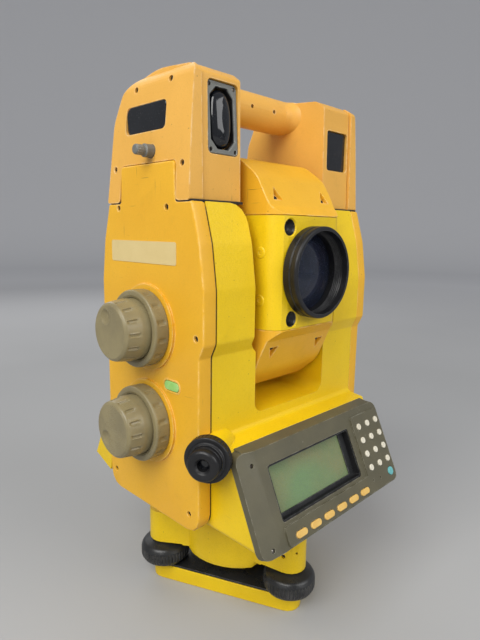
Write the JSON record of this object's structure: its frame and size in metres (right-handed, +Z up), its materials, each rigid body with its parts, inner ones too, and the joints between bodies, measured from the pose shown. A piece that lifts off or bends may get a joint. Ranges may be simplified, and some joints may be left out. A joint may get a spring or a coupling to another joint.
{
  "type": "surveying total station",
  "caption": "Electronic total station: tilting telescope in a rotating alidade with display units, knobs, carry handle and levelling tribrach.",
  "frame": {"origin": "centre of the bounding box on the plane that the base plate stands on", "axes": "+Z up along the vertical axis; the objective looks along -Y; knobs on the -X side, battery on the +X side; the vertical axis is at x = 13.05 mm, y = 5 mm"},
  "size_m": [0.2202, 0.202, 0.3986],
  "materials": {
    "amber_rubber": "matte",
    "bezel_plastic": "matte",
    "black_plastic": "satin",
    "casting_paint": "satin textured yellow paint",
    "charcoal_plastic": "semi-gloss",
    "cover_paint": "satin orange-yellow paint",
    "dark_glass": "coated",
    "green_rubber": "matte",
    "grey_plastic": "satin",
    "key_rubber": "matte",
    "level_glass": "satin housing",
    "screen_glass": "satin",
    "spindle_steel": "ground",
    "taupe_plastic": "matte, worn",
    "teal_rubber": "matte",
    "tower_paint": "satin peach-orange paint"
  },
  "bodies": {
    "tribrach": {"base_plate": "casting_paint", "spring_plate": "charcoal_plastic", "tribrach_body": "casting_paint", "circular_level": "level_glass", "instrument_base": "casting_paint"},
    "alidade": {"vertical_spindle": "spindle_steel", "alidade_casting": "casting_paint", "left_side_cover": "cover_paint", "right_side_cover": "cover_paint", "carry_handle": "tower_paint", "left_tower_cover": "tower_paint", "right_tower_cover": "tower_paint", "beacon_frame": "grey_plastic", "beacon_lens": "dark_glass", "front_bezel": "bezel_plastic", "front_screen": "screen_glass", "rear_bezel": "bezel_plastic", "rear_screen": "screen_glass", "rear_keypad": "key_rubber"},
    "telescope": {"telescope_body": "casting_paint", "telescope_upper_cover": "cover_paint", "telescope_lower_cover": "cover_paint", "objective_ring": "black_plastic", "objective_lens": "dark_glass", "sight_collimator": "black_plastic"},
    "tribrach_lock_knob": {"tribrach_lock_knob": "charcoal_plastic"},
    "vertical_shuttle_ring": {"vertical_shuttle_ring": "taupe_plastic"},
    "vertical_jog_knob": {"vertical_jog_knob": "taupe_plastic"},
    "horizontal_shuttle_ring": {"horizontal_shuttle_ring": "taupe_plastic"},
    "horizontal_jog_knob": {"horizontal_jog_knob": "taupe_plastic"},
    "power_button": {"power_button": "green_rubber"},
    "plummet_focus_ring": {"plummet_focus_ring": "black_plastic"},
    "plummet_eyepiece": {"plummet_eyepiece": "black_plastic"},
    "handle_lock_knob": {"handle_lock_knob": "grey_plastic"},
    "battery": {"battery": "cover_paint"},
    "battery_latch": {"battery_latch": "taupe_plastic"},
    "focusing_ring": {"focusing_ring": "black_plastic"},
    "eyepiece": {"eyepiece": "black_plastic"},
    "foot_screw_front": {"foot_screw_front": "charcoal_plastic"},
    "foot_screw_left": {"foot_screw_left": "charcoal_plastic"},
    "foot_screw_right": {"foot_screw_right": "charcoal_plastic"},
    "key_1_1": {"key_1_1": "key_rubber"},
    "key_1_2": {"key_1_2": "key_rubber"},
    "key_1_3": {"key_1_3": "key_rubber"},
    "key_2_1": {"key_2_1": "key_rubber"},
    "key_2_2": {"key_2_2": "key_rubber"},
    "key_2_3": {"key_2_3": "key_rubber"},
    "key_3_1": {"key_3_1": "key_rubber"},
    "key_3_2": {"key_3_2": "key_rubber"},
    "key_3_3": {"key_3_3": "key_rubber"},
    "key_4_1": {"key_4_1": "key_rubber"},
    "key_4_2": {"key_4_2": "key_rubber"},
    "key_4_3": {"key_4_3": "key_rubber"},
    "key_enter": {"key_enter": "teal_rubber"},
    "key_f1": {"key_f1": "amber_rubber"},
    "key_f2": {"key_f2": "amber_rubber"},
    "key_f3": {"key_f3": "amber_rubber"},
    "key_f4": {"key_f4": "amber_rubber"},
    "key_f5": {"key_f5": "amber_rubber"},
    "key_f6": {"key_f6": "amber_rubber"}
  },
  "joints": [
    {"name": "alidade_turn", "type": "hinge", "parent": "tribrach", "child": "alidade", "pos_m": [0.01305, 0.005, 0.09], "axis": [0, 0, 1], "continuous": true},
    {"name": "telescope_tilt", "type": "hinge", "parent": "alidade", "child": "telescope", "pos_m": [0.01305, 0.005, 0.265], "axis": [1, 0, 0], "continuous": true},
    {"name": "foot_screw_front_turn", "type": "hinge", "parent": "tribrach", "child": "foot_screw_front", "pos_m": [0.00638, -0.05845, 0.02], "axis": [0, 0, 1], "continuous": true},
    {"name": "foot_screw_left_turn", "type": "hinge", "parent": "tribrach", "child": "foot_screw_left", "pos_m": [-0.03857, 0.0425, 0.02], "axis": [0, 0, 1], "continuous": true},
    {"name": "foot_screw_right_turn", "type": "hinge", "parent": "tribrach", "child": "foot_screw_right", "pos_m": [0.07133, 0.03095, 0.02], "axis": [0, 0, 1], "continuous": true},
    {"name": "tribrach_lock_turn", "type": "hinge", "parent": "tribrach", "child": "tribrach_lock_knob", "pos_m": [0.0188, 0.0597, 0.049], "axis": [0.1045, 0.9945, 0], "range_deg": [0, 180]},
    {"name": "vertical_shuttle", "type": "hinge", "parent": "alidade", "child": "vertical_shuttle_ring", "pos_m": [-0.08695, 0.005, 0.2269], "axis": [-1, 0, 0], "range_deg": [-45, 45], "stiffness_Nm_per_rad": 0.06},
    {"name": "vertical_jog", "type": "hinge", "parent": "alidade", "child": "vertical_jog_knob", "pos_m": [-0.09695, 0.005, 0.2269], "axis": [-1, 0, 0], "continuous": true},
    {"name": "horizontal_shuttle", "type": "hinge", "parent": "alidade", "child": "horizontal_shuttle_ring", "pos_m": [-0.08695, 0.005, 0.1595], "axis": [-1, 0, 0], "range_deg": [-45, 45], "stiffness_Nm_per_rad": 0.06},
    {"name": "horizontal_jog", "type": "hinge", "parent": "alidade", "child": "horizontal_jog_knob", "pos_m": [-0.09695, 0.005, 0.1595], "axis": [-1, 0, 0], "continuous": true},
    {"name": "power_press", "type": "slide", "parent": "alidade", "child": "power_button", "axis": [1, 0, 0], "range_m": [0, 0.001], "stiffness_N_per_m": 300},
    {"name": "plummet_focus", "type": "hinge", "parent": "alidade", "child": "plummet_focus_ring", "pos_m": [-0.08295, -0.06, 0.1508], "axis": [-0.866, -0.5, 0], "range_deg": [-150, 150]},
    {"name": "plummet_eyepiece_turn", "type": "hinge", "parent": "alidade", "child": "plummet_eyepiece", "pos_m": [-0.08295, -0.06, 0.1508], "axis": [-0.866, -0.5, 0], "range_deg": [-150, 150]},
    {"name": "handle_lock_turn", "type": "hinge", "parent": "alidade", "child": "handle_lock_knob", "pos_m": [-0.07965, 0.001, 0.3434], "axis": [-1, 0, 0], "continuous": true},
    {"name": "battery_slide", "type": "slide", "parent": "alidade", "child": "battery", "axis": [1, 0, 0], "range_m": [0, 0.05]},
    {"name": "battery_latch_press", "type": "slide", "parent": "alidade", "child": "battery_latch", "axis": [-1, 0, 0], "range_m": [0, 0.002], "stiffness_N_per_m": 300},
    {"name": "key_1_1_press", "type": "slide", "parent": "alidade", "child": "key_1_1", "axis": [0, 0.91, -0.4147], "range_m": [0, 0.0012], "stiffness_N_per_m": 150},
    {"name": "key_1_2_press", "type": "slide", "parent": "alidade", "child": "key_1_2", "axis": [0, 0.91, -0.4147], "range_m": [0, 0.0012], "stiffness_N_per_m": 150},
    {"name": "key_1_3_press", "type": "slide", "parent": "alidade", "child": "key_1_3", "axis": [0, 0.91, -0.4147], "range_m": [0, 0.0012], "stiffness_N_per_m": 150},
    {"name": "key_2_1_press", "type": "slide", "parent": "alidade", "child": "key_2_1", "axis": [0, 0.91, -0.4147], "range_m": [0, 0.0012], "stiffness_N_per_m": 150},
    {"name": "key_2_2_press", "type": "slide", "parent": "alidade", "child": "key_2_2", "axis": [0, 0.91, -0.4147], "range_m": [0, 0.0012], "stiffness_N_per_m": 150},
    {"name": "key_2_3_press", "type": "slide", "parent": "alidade", "child": "key_2_3", "axis": [0, 0.91, -0.4147], "range_m": [0, 0.0012], "stiffness_N_per_m": 150},
    {"name": "key_3_1_press", "type": "slide", "parent": "alidade", "child": "key_3_1", "axis": [0, 0.91, -0.4147], "range_m": [0, 0.0012], "stiffness_N_per_m": 150},
    {"name": "key_3_2_press", "type": "slide", "parent": "alidade", "child": "key_3_2", "axis": [0, 0.91, -0.4147], "range_m": [0, 0.0012], "stiffness_N_per_m": 150},
    {"name": "key_3_3_press", "type": "slide", "parent": "alidade", "child": "key_3_3", "axis": [0, 0.91, -0.4147], "range_m": [0, 0.0012], "stiffness_N_per_m": 150},
    {"name": "key_4_1_press", "type": "slide", "parent": "alidade", "child": "key_4_1", "axis": [0, 0.91, -0.4147], "range_m": [0, 0.0012], "stiffness_N_per_m": 150},
    {"name": "key_4_2_press", "type": "slide", "parent": "alidade", "child": "key_4_2", "axis": [0, 0.91, -0.4147], "range_m": [0, 0.0012], "stiffness_N_per_m": 150},
    {"name": "key_4_3_press", "type": "slide", "parent": "alidade", "child": "key_4_3", "axis": [0, 0.91, -0.4147], "range_m": [0, 0.0012], "stiffness_N_per_m": 150},
    {"name": "key_enter_press", "type": "slide", "parent": "alidade", "child": "key_enter", "axis": [0, 0.91, -0.4147], "range_m": [0, 0.0012], "stiffness_N_per_m": 150},
    {"name": "key_f1_press", "type": "slide", "parent": "alidade", "child": "key_f1", "axis": [0, 0.91, -0.4147], "range_m": [0, 0.0012], "stiffness_N_per_m": 150},
    {"name": "key_f2_press", "type": "slide", "parent": "alidade", "child": "key_f2", "axis": [0, 0.91, -0.4147], "range_m": [0, 0.0012], "stiffness_N_per_m": 150},
    {"name": "key_f3_press", "type": "slide", "parent": "alidade", "child": "key_f3", "axis": [0, 0.91, -0.4147], "range_m": [0, 0.0012], "stiffness_N_per_m": 150},
    {"name": "key_f4_press", "type": "slide", "parent": "alidade", "child": "key_f4", "axis": [0, 0.91, -0.4147], "range_m": [0, 0.0012], "stiffness_N_per_m": 150},
    {"name": "key_f5_press", "type": "slide", "parent": "alidade", "child": "key_f5", "axis": [0, 0.91, -0.4147], "range_m": [0, 0.0012], "stiffness_N_per_m": 150},
    {"name": "key_f6_press", "type": "slide", "parent": "alidade", "child": "key_f6", "axis": [0, 0.91, -0.4147], "range_m": [0, 0.0012], "stiffness_N_per_m": 150},
    {"name": "focus_turn", "type": "hinge", "parent": "telescope", "child": "focusing_ring", "pos_m": [0.01305, 0.069, 0.265], "axis": [0, 1, 0], "range_deg": [-150, 150]},
    {"name": "eyepiece_turn", "type": "hinge", "parent": "telescope", "child": "eyepiece", "pos_m": [0.01305, 0.085, 0.265], "axis": [0, 1, 0], "range_deg": [-150, 150]}
  ]
}
